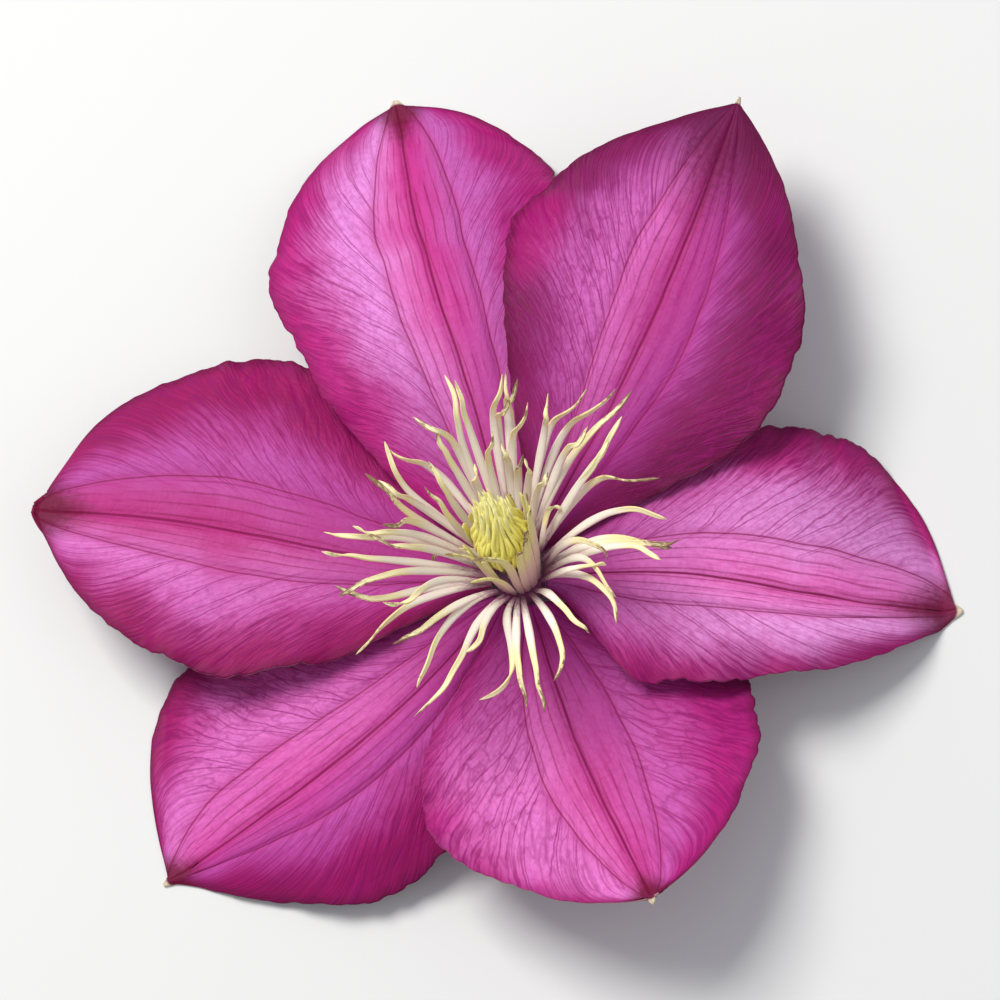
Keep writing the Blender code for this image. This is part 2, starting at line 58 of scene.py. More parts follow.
class Wire:
    # a shader socket; arithmetic on it adds Math nodes to its tree
    def __init__(self, tree, socket=None):
        self.tree = tree
        self.socket = socket

    def node(self, kind, settings=None, sockets=None, out=0):
        made = self.tree.nodes.new(kind)
        for key, value in (settings or {}).items():
            if key == "stops":
                ramp = made.color_ramp
                while len(ramp.elements) < len(value):
                    ramp.elements.new(0.5)
                for element, (position, color) in zip(ramp.elements, value):
                    element.position = position
                    element.color = (*color, 1.0)
            else:
                setattr(made, key, value)
        for key, value in (sockets or {}).items():
            if isinstance(value, Wire):
                self.tree.links.new(value.socket, made.inputs[key])
            elif value is not None:
                made.inputs[key].default_value = value
        return Wire(self.tree, made.outputs[out] if made.outputs else None)

    def math(self, operation, first, second=None, clamp=False):
        settings = {"operation": operation, "use_clamp": clamp}
        return self.node("ShaderNodeMath", settings, {0: first, 1: second})

    def __add__(self, other):
        return self.math("ADD", self, other)

    __radd__ = __add__

    def __sub__(self, other):
        return self.math("SUBTRACT", self, other)

    def __rsub__(self, other):
        return self.math("SUBTRACT", other, self)

    def __mul__(self, other):
        return self.math("MULTIPLY", self, other)

    __rmul__ = __mul__

    def __truediv__(self, other):
        return self.math("DIVIDE", self, other)

    def __pow__(self, other):
        return self.math("POWER", self, other)

    def __abs__(self):
        return self.math("ABSOLUTE", self)

    def least(self, other):
        return self.math("MINIMUM", self, other)

    def most(self, other):
        return self.math("MAXIMUM", self, other)

    def rise(self, low, high):
        # 0 below low, 1 above high, smooth between
        return self.node("ShaderNodeMapRange", {"interpolation_type": "SMOOTHSTEP"},
                         {"Value": self, "From Min": low, "From Max": high})

    def parts(self):
        split = self.tree.nodes.new("ShaderNodeSeparateXYZ")
        self.tree.links.new(self.socket, split.inputs[0])
        return [Wire(self.tree, out) for out in split.outputs]

    def vector(self, x, y, z=0.0):
        return self.node("ShaderNodeCombineXYZ", {}, {0: x, 1: y, 2: z})

    def attribute(self, name, out="Vector"):
        return self.node("ShaderNodeAttribute", {"attribute_name": name}, out=out)

    def noise(self, vector, scale, detail=2.0, roughness=0.5, flat=True):
        return self.node("ShaderNodeTexNoise", {"noise_dimensions": "2D" if flat else "3D"},
                         {"Vector": vector, "Scale": scale, "Detail": detail,
                          "Roughness": roughness})

    def cellEdges(self, vector, scale, randomness=1.0):
        settings = {"voronoi_dimensions": "2D", "feature": "DISTANCE_TO_EDGE"}
        return self.node("ShaderNodeTexVoronoi", settings,
                         {"Vector": vector, "Scale": scale, "Randomness": randomness},
                         "Distance")

    def blend(self, factor, low, high, kind="MIX"):
        low = low if isinstance(low, Wire) else (*low, 1.0)
        high = high if isinstance(high, Wire) else (*high, 1.0)
        return self.node("ShaderNodeMix", {"data_type": "RGBA", "blend_type": kind},
                         {0: factor, 6: low, 7: high}, 2)


def startMaterial(name):
    mat = bpy.data.materials.new(name)
    mat.use_nodes = True
    mat.node_tree.nodes.clear()
    return mat, Wire(mat.node_tree)


def finishMaterial(mat, pen, color, roughness, height, fixed, bumpDepth=0.0002, bumpStrength=0.6):
    # height is in units of bumpDepth metres; fixed holds values set on the shader's own sockets
    normal = None
    if height is not None:
        normal = pen.node("ShaderNodeBump", {},
                          {"Strength": bumpStrength, "Distance": bumpDepth, "Height": height})
    sockets = {"Base Color": color, "Roughness": roughness, "Normal": normal, **fixed}
    shader = pen.node("ShaderNodeBsdfPrincipled", {}, sockets)
    pen.node("ShaderNodeOutputMaterial", {}, {"Surface": shader})
    return mat


def makePiece(name, points, faces, material, attributes, replaced=None):
    # a piece in the model's frame, riding on the one body that there is
    mesh = bpy.data.meshes.new(name)
    placed = (points + flowerMiddle) * mm
    mesh.from_pydata(placed.tolist(), [], [face for group in faces for face in group.tolist()])
    for key, values in attributes.items():
        layer = mesh.attributes.new(key, "FLOAT_VECTOR", "POINT")
        layer.data.foreach_set("vector", np.ascontiguousarray(values, np.float32).ravel())
    mesh.shade_smooth()
    mesh.materials.append(material)
    piece = bpy.data.objects.new(name, mesh)
    bpy.context.scene.collection.objects.link(piece)
    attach(piece, "root")
    if replaced:
        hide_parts(replaced)
    return piece


def between(pair, share):
    return pair[0] + (pair[1] - pair[0]) * share


def drawRows(seed, count, ranges):
    draw = random.Random(seed)
    return np.array([[draw.uniform(*pair) for pair in ranges] for number in range(count)])


def sweptTubes(paths, across, above):
    # closed tubes along many paths at once: across and above hold each station's outline,
    # sideways and towards the inner face; every end is closed on a point of its own
    forward = np.gradient(paths, axis=1)
    forward /= np.linalg.norm(forward, axis=-1, keepdims=True)
    outward = paths[:, :1] * np.array([1.0, 1.0, 0.0])
    sideways = np.cross(forward, np.broadcast_to(outward, paths.shape))
    sideways /= np.linalg.norm(sideways, axis=-1, keepdims=True)
    inner = np.cross(forward, sideways)
    points = (paths[:, :, None] + across[..., None] * sideways[:, :, None]
              + above[..., None] * inner[:, :, None])
    count, stations, sides = across.shape
    ring = np.arange(count * stations * sides).reshape(count, stations, sides)
    nextRing = np.roll(ring, -1, axis=2)
    quads = np.stack([ring[:, :-1], nextRing[:, :-1], nextRing[:, 1:], ring[:, 1:]], -1)
    total = count * stations * sides
    foot = np.broadcast_to(total + np.arange(count)[:, None], (count, sides))
    head = foot + count
    feet = np.stack([nextRing[:, 0], ring[:, 0], foot], -1)
    heads = np.stack([ring[:, -1], nextRing[:, -1], head], -1)
    ends = np.concatenate([points[:, 0].mean(axis=1), points[:, -1].mean(axis=1)])
    points = np.concatenate([points.reshape(-1, 3), ends])
    return points, [quads.reshape(-1, 4), feet.reshape(-1, 3), heads.reshape(-1, 3)]


# The camera looks down on the flower, tilted towards the lower right of the picture
camera = dict(lens=180.0, distance=625.0, tilt=22.0, towards=(0.35, -0.94),
              lookHeight=10.5, lookRight=-2.4, lookUp=9.75)


def placeCamera(c):
    tilt = math.radians(c["tilt"])
    towards = Vector((*c["towards"], 0.0)).normalized()
    back = towards * math.sin(tilt) + Vector((0.0, 0.0, math.cos(tilt)))
    right = Vector((0.0, 1.0, 0.0)).cross(back).normalized()
    up = back.cross(right)
    target = Vector(flowerMiddle) + Vector((0.0, 0.0, c["lookHeight"]))
    target += right * c["lookRight"] + up * c["lookUp"]
    data = bpy.data.cameras.new("camera")
    data.lens = c["lens"]
    data.sensor_width = 36.0
    data.clip_start = 0.01
    cam = bpy.data.objects.new("camera", data)
    cam.matrix_world = (Matrix.Translation((target + back * c["distance"]) * mm)
                        @ Matrix((right, up, back)).transposed().to_4x4())
    bpy.context.scene.collection.objects.link(cam)
    bpy.context.scene.camera = cam


placeCamera(camera)
print("camera placed")

# Sepals. side values are half width, where widest, shoulder, roundness, margin height and how
# slowly it grows out of the claw, as seen from the claw towards the tip
sepalShape = dict(claw=3.4, clawHalf=1.35, base=8.0, layerStep=1.1, bar=0.28,
                  furrow=0.30, pillow=0.7, wave=0.55, thickness=0.42, rimThickness=0.2,
                  touchEase=0.5, point=0.8, rows=190, pointRows=8, columns=129)
# Two pairs per sepal, left side then right, paint light and shade: one sets how pale each side is
# painted as lit, the other how far the dark margin reaches in, partly the sepal's own margin and partly
# painted shade
sepals = {
    "sepal_upper_left": dict(
        direction=104.0, reach=73.0, bow=0.5, bend=-0.6, layer=2, rise=3.5, tip=-1.2,
        fall=2.6, wave=0.3, seed=3.0, tipHalf=1.3,
        marginAndShade=(0.0, 0.12), paintedLight=(1.0, 0.40), rimmed=(0.6, 1.0), ended=(9.0, 5.0), barred=0.78,
        netted=0.20, pale=(0.82, 0.30, 0.75), rich=(0.42, 0.004, 0.16), bar=(0.54, 0.010, 0.21),
        left=(20.3, 0.67, 1.3, 0.63, -0.6, 0.66), right=(19.0, 0.69, 2.1, 0.63, -4.9, 0.66)),
    "sepal_upper_right": dict(
        direction=65.0, reach=68.0, bow=-2.1, bend=0.0, layer=3, rise=2.0, tip=14.0,
        fall=2.0, wave=1.3, seed=11.0, tipHalf=0.5,
        marginAndShade=(0.06, 0.28), paintedLight=(0.95, 0.36), rimmed=(1.0, 1.0), ended=(20.0, 20.0), barred=0.65,
        netted=0.46, pale=(0.76, 0.18, 0.58), middle=(0.31, 0.010, 0.19), rich=(0.13, 0.002, 0.045),
        bar=(0.38, 0.008, 0.16), end=(0.12, 0.002, 0.045), claw=(0.24, 0.012, 0.15),
        hot=(0.60, 0.90, 0.13, 0.25),
        left=(21.5, 0.63, 1.7, 0.88, 1.1, 1.3), right=(19.5, 0.5, 1.6, 0.88, 0.4, 1.3)),
    # this sepal's pale, bar and claw colours and its right side are painted lighter than the others':
    # painted light where it slopes away from the lamp
    "sepal_right": dict(
        direction=-3.6, reach=53.9, bow=-0.7, bend=0.9, layer=2, rise=3.2, tip=-1.2,
        fall=3.0, wave=2.1, seed=19.0, tipHalf=1.3,
        marginAndShade=(0.0, -0.12), paintedLight=(0.84, 1.2), rimmed=(0.9, 0.35), ended=(11.0, 7.0), barred=0.60,
        netted=0.16, pale=(0.86, 0.34, 0.77), bar=(0.84, 0.095, 0.44), claw=(0.54, 0.070, 0.39),
        left=(23.0, 0.62, 2.6, 0.51, -4.2, 0.75), right=(14.5, 0.3, 1.6, 0.95, 0.2, 1.35)),
    "sepal_bottom": dict(
        direction=-69.0, reach=47.5, bow=-1.1, bend=-0.1, layer=1, rise=-0.3, tip=18.0,
        fall=2.4, wave=4.0, seed=27.0, tipHalf=0.6,
        marginAndShade=(0.10, -0.22), paintedLight=(0.55, 1.0), rimmed=(0.9, 0.35), ended=(5.0, 4.0), barred=0.55,
        netted=0.40, pale=(0.76, 0.19, 0.57), rich=(0.42, 0.010, 0.17),
        left=(22.5, 0.52, 1.55, 0.64, -2.0, 0.72), right=(21.0, 0.52, 1.45, 0.75, 1.5, 0.93)),
    "sepal_lower_left": dict(
        direction=217.0, reach=57.5, bow=3.7, bend=0.3, layer=0, rise=1.8, tip=-1.2,
        fall=2.4, wave=5.0, seed=35.0, tipHalf=0.7,
        marginAndShade=(0.16, -0.05), paintedLight=(0.35, 1.1), rimmed=(1.0, 0.9), ended=(6.0, 5.0), barred=0.50,
        netted=0.36, pale=(0.74, 0.18, 0.56), rich=(0.30, 0.004, 0.090), bar=(0.59, 0.022, 0.25),
        left=(17.5, 0.52, 1.8, 1.3, -4.0, 0.8), right=(23.0, 0.71, 2.7, 0.82, -3.4, 0.8)),
    "sepal_left": dict(
        direction=168.5, reach=63.2, bow=-0.4, bend=0.5, layer=1, rise=1.8, tip=9.5,
        fall=2.4, wave=0.9, seed=43.0, tipHalf=3.8,
        marginAndShade=(0.0, 0.16), paintedLight=(0.90, 0.45), rimmed=(0.9, 1.0), ended=(9.0, 7.0), barred=0.72,
        netted=0.22, pale=(0.72, 0.20, 0.57), bar=(0.42, 0.005, 0.13), rich=(0.25, 0.003, 0.065),
        point=(0.20, 0.006, 0.045),
        left=(19.0, 0.53, 2.1, 0.89, 1.0, 1.2), right=(24.5, 0.61, 1.3, 0.61, -3.0, 0.85)),
}


def halfWidth(t, side, tipHalf):
    # a sine power from the claw up to the widest place, then a rounded end
    width, widest, shoulder, roundness, _, slowness = side
    grown = np.sin(0.5 * math.pi * np.clip(t / widest, 0.0, 1.0)) ** slowness
    past = np.clip((t - widest) / (1.0 - widest), 0.0, 1.0)
    ended = (1.0 - past ** shoulder) ** roundness
    grown = sepalShape["clawHalf"] + (width - sepalShape["clawHalf"]) * grown
    ended = tipHalf + (width - tipHalf) * ended
    return np.where(t < widest, grown, ended)


def ripple(x, seed, count):
    # an uneven wave, the sum of three sines that don't keep step, about count to the unit
    turns = 2.0 * math.pi * count * x
    return (np.sin(turns + seed) + 0.6 * np.sin(1.37 * turns + 2.3 * seed)
            + 0.4 * np.sin(0.61 * turns + 4.1 * seed)) / 2.0


def sepalSurface(row, past, s):
    # middle surface of a blade: the midrib sways in plan and arches in height, and each side
    # leans, swells, waves at its margin and is furrowed along the veins of the bar. Past 1 the
    # blade runs out in a small dry point
    f = sepalShape
    onLeft = s > 0.0
    length = row["reach"] - f["claw"]
    t = np.minimum(past, 1.0)
    beyond = (past - t) * length / f["point"]
    left = halfWidth(t, row["left"], row["tipHalf"])
    right = halfWidth(t, row["right"], row["tipHalf"])
    width = np.where(onLeft, left, right)
    full = np.where(onLeft, left / row["left"][0], right / row["right"][0])
    across = np.abs(s)
    side = np.where(onLeft, 1.0, 2.0)
    body = np.sqrt(np.clip(np.sin(math.pi * t), 0.0, 1.0))
    seed = row["seed"] * side
    # the margin is cut into low lobes and small uneven scallops
    scallop = ripple(t, seed, 17.0) - 0.35 * ripple(t, seed + 1.0, 41.0)
    lobe = ripple(t, seed + 3.0, 3.6)
    width = width + (0.22 * scallop + 0.52 * lobe) * across ** 3 * body * np.sqrt(full)
    narrowed = 1.0 - 0.75 * beyond
    width = width * narrowed

    along = f["claw"] + length * past
    along = along - 0.5 * row["tipHalf"] * (s * narrowed) ** 2 * t ** 12
    sway = row["bow"] * np.sin(math.pi * t) + row["bend"] * np.sin(2.0 * math.pi * t)
    slope = (row["bow"] * math.pi * np.cos(math.pi * t)
             + row["bend"] * 2.0 * math.pi * np.cos(2.0 * math.pi * t)) / length
    turn = np.arctan(slope)

    start = f["base"] + f["layerStep"] * row["layer"]
    height = start + row["rise"] * np.sin(math.pi * t)
    height += (row["tip"] - start) * t ** row["fall"] + 0.5 * beyond ** 2
    height += np.where(onLeft, row["left"][4], row["right"][4]) * full * across ** 1.8
    pillow = np.sin(math.pi * np.clip((across - 0.25) / 0.75, 0.0, 1.0)) ** 2
    height += f["pillow"] * full * pillow
    phase = row["wave"] + 2.2 * onLeft
    waves = np.sin(2.0 * math.pi * 4.5 * t + phase)
    waves += 0.5 * np.sin(2.0 * math.pi * 7.3 * t + phase + row["wave"])
    height += f["wave"] * waves * across ** 4 * body * np.sqrt(full)
    height += 0.16 * ripple(t, seed + 2.0, 15.0) * across ** 7 * body
    # the three great veins of the bar lie in furrows, the fine ones in shallow ones
    height -= f["furrow"] * body * bell(s, 0.05)
    height -= f["furrow"] * body * bell(across - f["bar"], 0.04)
    height -= 0.08 * body * bell(across - 0.5 * f["bar"], 0.03)
    # low corrugations run along the side veins, out and forwards to the margin
    fan = fanAcross(t, across, length)
    ribs = ripple(fan / 10.0, seed, 4.2) * smoothStep((across - 0.3) / 0.5)
    height += 0.07 * ribs * body * full
    lowest = 0.5 * f["thickness"]
    over = height - lowest
    ease = f["touchEase"]
    bent = (over + ease) ** 2 / (4.0 * ease)
    height = lowest + np.where(over > ease, over, np.where(over < -ease, 0.0, bent))

    out = along - s * width * np.sin(turn)
    aside = sway + s * width * np.cos(turn)
    angle = math.radians(row["direction"])
    x = out * math.cos(angle) - aside * math.sin(angle)
    y = out * math.sin(angle) + aside * math.cos(angle)
    return np.stack([x, y, height], axis=-1), width


def fanAcross(t, across, length):
    # constant along a side vein, which leaves the bar and bends out to the margin
    outward = np.clip(across - 0.2, 0.0, 1.0)
    return length * (t - 0.40 * outward ** 0.75)


def surfaceNormals(points):
    normals = np.cross(np.gradient(points, axis=0), np.gradient(points, axis=1))
    return normals / np.linalg.norm(normals, axis=-1, keepdims=True)


def bladeFaces(rows, columns):
    # an upper and a lower grid of quads and the rim that joins them
    index = np.arange(rows * columns).reshape(rows, columns)
    a, b = index[:-1, :-1].ravel(), index[1:, :-1].ravel()
    c, d = index[1:, 1:].ravel(), index[:-1, 1:].ravel()
    lower = rows * columns
    rim = np.concatenate([index[0, :-1], index[:-1, -1], index[-1, :0:-1], index[:0:-1, 0]])
    after = np.roll(rim, -1)
    return [np.stack([a, b, c, d], -1), lower + np.stack([a, d, c, b], -1),
            np.stack([rim, after, lower + after, lower + rim], -1)]


def makeSepal(name, row, material):
    f = sepalShape
    length = row["reach"] - f["claw"]
    t = 1.0 - (1.0 - np.linspace(0.0, 1.0, f["rows"])) ** 1.25
    beyond = np.linspace(0.0, f["point"] / length, f["pointRows"] + 1)[1:]
    s = np.linspace(-1.0, 1.0, f["columns"])
    t, s = np.meshgrid(np.concatenate([t, 1.0 + beyond]), s, indexing="ij")
    middle, width = sepalSurface(row, t, s)
    across = np.abs(s)
    thick = f["rimThickness"] + (f["thickness"] - f["rimThickness"]) * (1.0 - across ** 6)
    normals = surfaceNormals(middle)
    offset = normals * 0.5 * thick[..., None]
    upper, lower = middle + offset, middle - offset
    # ribs stand out on the back under the furrows
    body = np.sqrt(np.clip(np.sin(math.pi * np.minimum(t, 1.0)), 0.0, 1.0))
    rib = bell(s, 0.035) + 0.8 * bell(across - f["bar"], 0.03) + 0.3 * bell(across - 0.14, 0.02)
    lower = lower - normals * (0.16 * rib * body)[..., None]
    plantDown(row, middle, lower, normals, rib, t)
    points = np.concatenate([upper.reshape(-1, 3), lower.reshape(-1, 3)])
    points[:, 2] = np.maximum(points[:, 2], 0.0)
    place = np.stack([t, s, width], -1).reshape(-1, 3)
    sideSeed = row["seed"] * np.where(s > 0.0, 1.0, 2.0)
    fan = np.stack([fanAcross(t, across, length) + sideSeed * 7.0, across * width,
                    np.zeros_like(t)], -1).reshape(-1, 3)
    under = fan.copy()
    under[:, 2] = 1.0
    attributes = {"place": np.concatenate([place, place]), "fan": np.concatenate([fan, under])}
    return makePiece(name + "_blade", points, bladeFaces(*t.shape), material, attributes,
                     name)


# Fine down, in closed hairs of three sides: on the ribs of the blades' backs and on the stalk
down = dict(seed=21, sepalCount=280, stalkCount=420, stations=4, sides=3, radius=0.028,
            lengths=(0.30, 0.85), lean=0.7, spread=0.35, scatter=0.12, clear=1.2)
downRoots = []
downAims = []


def plantDown(row, middle, lower, normals, rib, t):
    draw = np.random.default_rng(int(row["seed"]))
    forward = np.gradient(middle, axis=0)
    forward /= np.linalg.norm(forward, axis=-1, keepdims=True)
    ribbed = (rib > 0.3) & (lower[..., 2] > down["clear"]) & (t > 0.04) & (t < 0.97)
    places = np.argwhere(ribbed)
    at = tuple(places[draw.integers(0, len(places), down["sepalCount"])].T)
    aside = draw.uniform(-1.0, 1.0, (down["sepalCount"], 1))
    downRoots.append(lower[at] + 0.05 * normals[at] + down["scatter"] * aside * forward[at])
    downAims.append(down["lean"] * forward[at] - normals[at])


def makeDown(name, roots, aims, material):
    # each hair leaves along its aim, turned a little, and thins out to its end
    draw = np.random.default_rng(down["seed"])
    count, stations, sides = len(roots), down["stations"], down["sides"]
    aims = aims + down["spread"] * draw.normal(size=(count, 3))
    aims /= np.linalg.norm(aims, axis=1, keepdims=True)
    sag = down["spread"] * draw.normal(size=(count, 1, 3))
    u = np.linspace(0.0, 1.0, stations)[None, :, None]
    lengths = draw.uniform(*down["lengths"], (count, 1, 1))
    paths = roots[:, None] + lengths * (u * aims[:, None] + 0.5 * u ** 2 * sag)
    corner = (np.arange(sides) * 2.0 * math.pi / sides)[None, None]
    size = np.broadcast_to(down["radius"] * (1.0 - 0.8 * u), (count, stations, sides))
    points, faces = sweptTubes(paths, size * np.cos(corner), size * np.sin(corner))
    points[:, 2] = np.maximum(points[:, 2], 0.0)
    return makePiece(name, points, faces, material, {})


def downMaterial(name, color):
    mat, pen = startMaterial(name)
    return finishMaterial(mat, pen, (*color, 1.0), 0.6, None, {"Specular IOR Level": 0.3})


# Finish of the sepals, linear colours
sepalColors = dict(
    pale=(0.68, 0.150, 0.50), paintedShadeViolet=(0.35, 0.040, 0.30), middle=(0.43, 0.015, 0.225),
    rich=(0.31, 0.004, 0.105), glow=(0.52, 0.006, 0.20), bar=(0.54, 0.016, 0.21),
    claw=(0.33, 0.022, 0.21),
    vein=(0.20, 0.003, 0.055), halo=(0.38, 0.008, 0.14), side=(0.26, 0.006, 0.125),
    rim=(0.11, 0.003, 0.035), end=(0.13, 0.002, 0.022), point=(0.72, 0.60, 0.44),
    back=(0.44, 0.16, 0.33), backBar=(0.36, 0.10, 0.19), backRib=(0.25, 0.10, 0.10),
    backRim=(0.42, 0.30, 0.17))


def sepalMaterial(name, row, look):
    mat, pen = startMaterial(name)
    t, s, width = pen.attribute("place").parts()
    fan, outward, back = pen.attribute("fan").parts()
    length = row["reach"] - sepalShape["claw"]
    across = abs(s)
    seed = row["seed"]
    run = t * length
    inMillimetres = s * width
    leftSide = s.rise(-0.12, 0.12)

    def bySide(pair):
        return pair[1] + (pair[0] - pair[1]) * leftSide

    def line(phase, spacing, thin, thick):
        # a line each time the phase passes a half, spacing millimetres apart
        return 1.0 - (abs(pen.math("FRACT", phase) - 0.5) * spacing).rise(thin, thick)

    # the lengthwise veins waver a little from side to side
    waver = (pen.noise(pen.vector(run, s * 3.0 + seed), 0.12, 1.0) - 0.5) * 1.3
    cloud = pen.noise(pen.vector(run, inMillimetres + seed * 9.0), 0.10, 2.0)
    grain = pen.noise(pen.vector(run + seed * 3.0, inMillimetres * 1.4), 1.1, 3.0, 0.65)
    tipFade = width.rise(0.3, 4.0)
    middleGap = abs(inMillimetres + waver * 0.4)
    outerGap = abs((across - sepalShape["bar"]) * width + waver * 0.6)
    greatVein = 1.0 - middleGap.rise(0.04, 0.26)
    outerVein = 1.0 - outerGap.rise(0.03, 0.22)
    thinVein = line(across * 14.3 + waver * 0.35, 1.3, 0.02, 0.17)
    halo = 1.0 - middleGap.least(outerGap * 1.3).rise(0.0, 1.4)
    barEdge = across + waver * 0.10 + (cloud - 0.5) * 0.25 + (grain - 0.5) * 0.16
    bar = (1.0 - barEdge.rise(0.02, 0.42)) * (0.30 + 0.70 * t.rise(0.22, 0.62))
    # side veins leave the bar and fork on the way out, a net joins them, and fine streaks run
    # between them to the margin
    warp = pen.noise(pen.vector(fan, outward), 0.09, 1.0) - 0.5
    crook = pen.noise(pen.vector(fan, outward), 0.55, 2.0) - 0.5
    phase = fan / 4.4 + warp * 1.1 + crook * 0.16
    spread = (outward + cloud * 8.0).rise(7.0, 18.0) * 0.24
    forks = line(phase + spread, 4.4, 0.02, 0.20).most(line(phase - spread, 4.4, 0.02, 0.20))
    net = pen.vector((fan + warp * 5.0 + crook * 1.6) / 1.9, (outward + crook * 2.4) / 2.9)
    net = 1.0 - pen.cellEdges(net, 1.0).rise(0.0, 0.15)
    streak = pen.noise(pen.vector((fan + warp * 4.0 + crook * 0.5) / 0.45, outward / 3.2), 1.0,
                       2.0, 0.6)
    offBar = (across + (cloud - 0.5) * 0.15).rise(0.16, 0.36)
    beforeTip = 1.0 - t.rise(0.78, 0.97)
    # the bar itself is streaked lengthwise
    strand = pen.noise(pen.vector(run / 6.0, inMillimetres * 2.2 + waver + seed), 1.0, 3.0, 0.65)
    reach = across + waver * 0.05 + (cloud - 0.5) * 0.45
    # the dark margin reaches further in on some sides than on others: partly the sepal's own dark
    # margin, partly painted shade on the side turned from the light
    marginAndShadeReach = bySide(look["marginAndShade"])
    margin = (reach + marginAndShadeReach + (streak - 0.5) * 0.35).rise(0.50, 0.95)
    outer = (reach + marginAndShadeReach * 0.5).rise(0.40, 0.85)

    # painted light and shade: each side of a sepal is painted paler where the lamp would light it and
    # more violet where it would lie in shade, with random cloud on top
    paintedLight = bySide(look["paintedLight"]) * (0.75 + cloud * 0.5)
    color = pen.blend(paintedLight, look["paintedShadeViolet"], look["pale"])
    # darker towards the claw under the boss: partly the sepal's own deep base, partly painted shade from
    # the boss
    color = pen.blend(t.rise(0.05, 0.60) * -0.85 + 0.85, color, look["claw"])
    color = pen.blend(grain.rise(0.35, 0.70) * 0.30, color, look["middle"])
    color = pen.blend((reach + marginAndShadeReach).rise(0.30, 0.85) * 0.70, color, look["middle"])
    color = pen.blend(margin * 0.92, color, look["rich"])
    color = pen.blend(bar * look["barred"], color, look["bar"])
    streaked = (0.20 + outer * 0.50) * (0.08 + offBar * 0.92)
    color = pen.blend(streak.rise(0.44, 0.68) * streaked, color, look["side"])
    glow = streak.rise(0.54, 0.34) * outer * offBar * cloud.rise(0.40, 0.60)
    color = pen.blend(glow * 0.28, color, look["glow"])
    color = pen.blend(strand.rise(0.42, 0.68) * bar * 0.42, color, look["halo"])
    color = pen.blend(net * (0.25 + offBar * 0.75) * look["netted"], color, look["side"])
    color = pen.blend(forks * offBar * beforeTip * (0.62 - outer * 0.25), color, look["side"])
    color = pen.blend(halo * tipFade * (0.15 + bar * 0.30), color, look["halo"])
    thin = thinVein * (1.0 - across.rise(0.22, 0.33)) * (cloud + strand * 0.5).rise(0.50, 0.80) * 0.62
    veins = greatVein.most(outerVein * 0.85).most(thin) * tipFade
    color = pen.blend(veins * 0.88, color, look["vein"])
    if "hot" in look:
        place, side, alongSize, acrossSize = look["hot"]
        far = ((t - place) / alongSize) ** 2.0 + ((s - side) / acrossSize) ** 2.0
        color = pen.blend((1.0 - (far + (streak - 0.5) * 1.2).rise(0.0, 1.3)) * 0.50, color,
                          look["glow"])
    # the rim is deep crimson, and so is a patch at the end of the midrib
    inset = (1.0 - across) * width + (streak - 0.5) * 2.4
    rim = (1.0 - inset.rise(-0.4, 2.0)) * bySide(look["rimmed"])
    color = pen.blend(rim * 0.78, color, look["rim"])
    endLength, endHalf = look["ended"]
    fromTip = (1.0 - t) * length / endLength + abs(inMillimetres) / endHalf
    color = pen.blend((1.0 - (fromTip + (grain - 0.5) * 0.5).rise(0.30, 1.15)) * 0.90, color,
                      look["end"])

    # the back is paler, with a duller bar, raised ribs and a tan rim
    under = pen.blend(bar * 0.7, look["back"], look["backBar"])
    under = pen.blend(veins * 0.7, under, look["backRib"])
    under = pen.blend(forks * offBar * 0.30, under, look["backBar"])
    under = pen.blend((1.0 - inset.rise(0.0, 1.6)) * 0.6, under, look["backRim"])
    color = pen.blend(back.rise(0.35, 0.65), color, under)
    color = pen.blend(((t - 1.0) * length).rise(0.0, 0.4), color, look["point"])

    height = 0.5 - greatVein * 0.5 - forks * offBar * 0.2 - net * 0.15
    height = height + streak * offBar * (0.35 + across * 0.5) + grain * 0.4
    roughness = 0.46 + streak * 0.16
    fixed = {"Sheen Weight": 0.04, "Sheen Roughness": 0.4,
             "Sheen Tint": (0.85, 0.45, 1.0, 1.0), "Specular IOR Level": 0.12}
    return finishMaterial(mat, pen, color, roughness, height, fixed, 0.00018, 0.6)


for sepalName, sepalRow in sepals.items():
    sepalSkin = sepalMaterial(sepalName + "_skin", sepalRow, {**sepalColors, **sepalRow})
    makeSepal(sepalName, sepalRow, sepalSkin)
makeDown("sepal_down", np.concatenate(downRoots), np.concatenate(downAims),
         downMaterial("sepal_down_skin", (0.72, 0.52, 0.56)))
print("sepals made")


def standing(points):
    return points + bossRoot


def bentOver(points):
    # the styles and young stamens bend over by the square of their height
    shift = bossBend * points[..., 2] ** 2
    x = points[..., 0] + shift * math.cos(bossLean)
    y = points[..., 1] + shift * math.sin(bossLean)
    return np.stack([x, y, points[..., 2]], axis=-1) + bossRoot


def strandPoints(count, stations, sides, columns):
    # per-point values on the tubes, then the same on the two end points of each
    body = np.stack([np.broadcast_to(c, (count, stations, sides)) for c in columns], -1)
    ends = body.mean(axis=2)
    return np.concatenate([body.reshape(-1, 3), ends[:, 0], ends[:, -1]])


